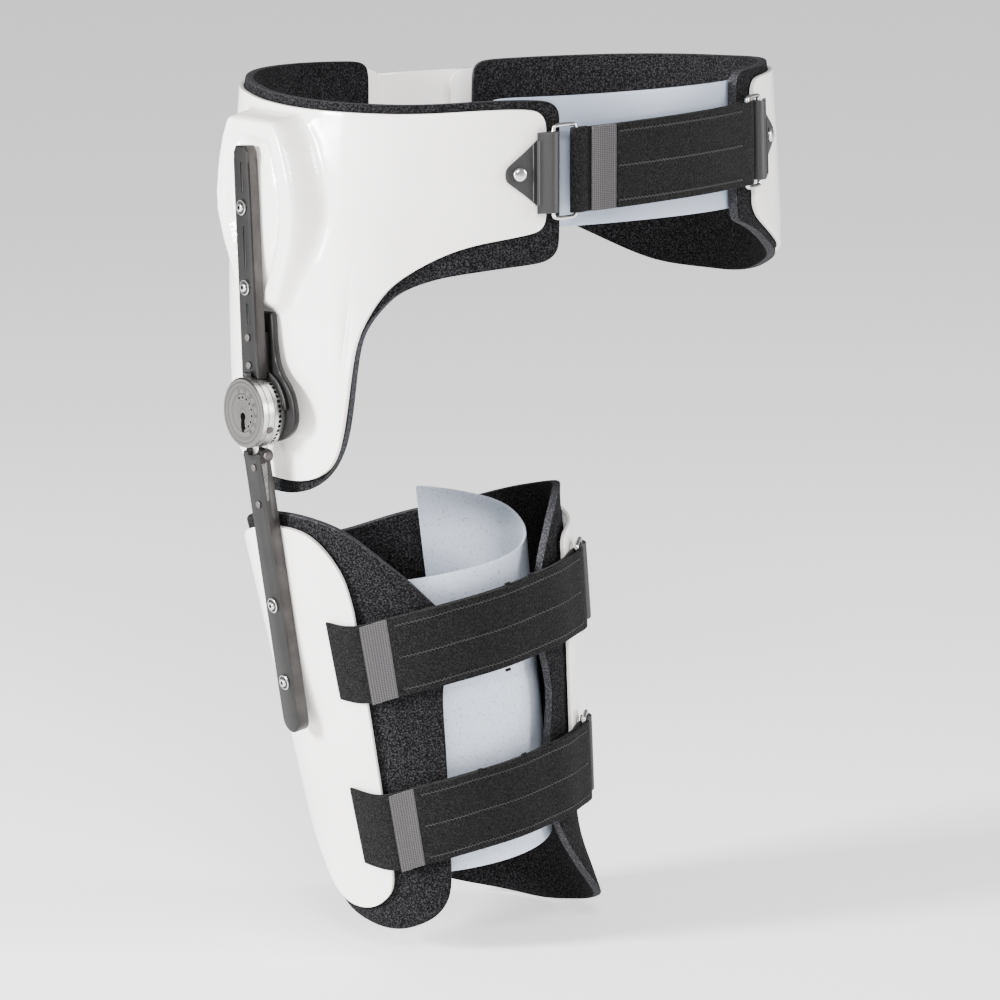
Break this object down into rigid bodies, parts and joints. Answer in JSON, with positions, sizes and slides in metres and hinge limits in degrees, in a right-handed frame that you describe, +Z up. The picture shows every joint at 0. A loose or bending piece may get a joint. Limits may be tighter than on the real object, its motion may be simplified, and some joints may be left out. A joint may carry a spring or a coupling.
{
  "type": "hip abduction brace",
  "caption": "Right hip abduction orthosis: lined pelvic band and thigh cuff in white plastic with pile straps, joined outside the hip by a jointed bar with a round dial hinge.",
  "frame": {"origin": "middle of the pelvic band at the height of the front strap", "axes": "+Z up the body, the wearer faces -Y, the hinge side (wearer's right) is -X"},
  "size_m": [0.3843, 0.2814, 0.532],
  "materials": {
    "shell_plastic": "white moulded thermoplastic, glossy",
    "lining_foam": "black closed cell foam",
    "tongue_plastic": "pale blue-grey flexible plastic sheet",
    "strap_pile": "black pile webbing, stitched",
    "tab_webbing": "grey ribbed webbing",
    "chape_plastic": "black flexible plastic",
    "bar_coat": "dark anodised bar",
    "dial_aluminium": "brushed aluminium",
    "bright_steel": "bright steel"
  },
  "bodies": {
    "pelvis": {"back_plate": "shell_plastic", "far_back_rivet": "bright_steel", "far_chape": "chape_plastic", "far_chape_rivet": "bright_steel", "far_pelvic_foam": "lining_foam", "far_pelvic_shell": "shell_plastic", "far_ring": "bright_steel", "hinge_dial": "dial_aluminium", "hinge_paddle": "bar_coat", "hinge_spacer": "bar_coat", "near_back_rivet": "bright_steel", "near_chape": "chape_plastic", "near_chape_rivet": "bright_steel", "near_pelvic_foam": "lining_foam", "near_pelvic_shell": "shell_plastic", "near_ring": "bright_steel", "pelvic_strap": "strap_pile", "pelvic_strap_tab": "tab_webbing", "pelvic_tongue": "tongue_plastic", "upper_bar": "bar_coat", "upper_bar_pin_1": "bright_steel", "upper_bar_pin_2": "bright_steel", "upper_bar_screw_1": "bright_steel", "upper_bar_screw_2": "bright_steel"},
    "hinge_arm": {"hinge_wheel": "dial_aluminium"},
    "thigh": {"abduction_pin": "bright_steel", "lower_bar": "bar_coat", "lower_bar_pin": "bright_steel", "lower_bar_screw_1": "bright_steel", "lower_bar_screw_2": "bright_steel", "lower_thigh_chape": "chape_plastic", "lower_thigh_ring": "bright_steel", "lower_thigh_rivet": "bright_steel", "lower_thigh_strap": "strap_pile", "lower_thigh_strap_tab": "tab_webbing", "thigh_foam": "lining_foam", "thigh_inner_plate": "shell_plastic", "thigh_shell": "shell_plastic", "thigh_tongue": "tongue_plastic", "upper_thigh_chape": "chape_plastic", "upper_thigh_ring": "bright_steel", "upper_thigh_rivet": "bright_steel", "upper_thigh_strap": "strap_pile", "upper_thigh_strap_tab": "tab_webbing"}
  },
  "joints": [
    {"name": "hip_flexion", "type": "hinge", "parent": "pelvis", "child": "hinge_arm", "pos_m": [-0.1975, -0.0125, -0.1382], "axis": [-1, 0, 0], "range_deg": [-10, 70]},
    {"name": "abduction_set", "type": "hinge", "parent": "hinge_arm", "child": "thigh", "pos_m": [-0.1984, -0.0125, -0.1641], "axis": [0, 1, 0], "range_deg": [-3, 30]}
  ]
}
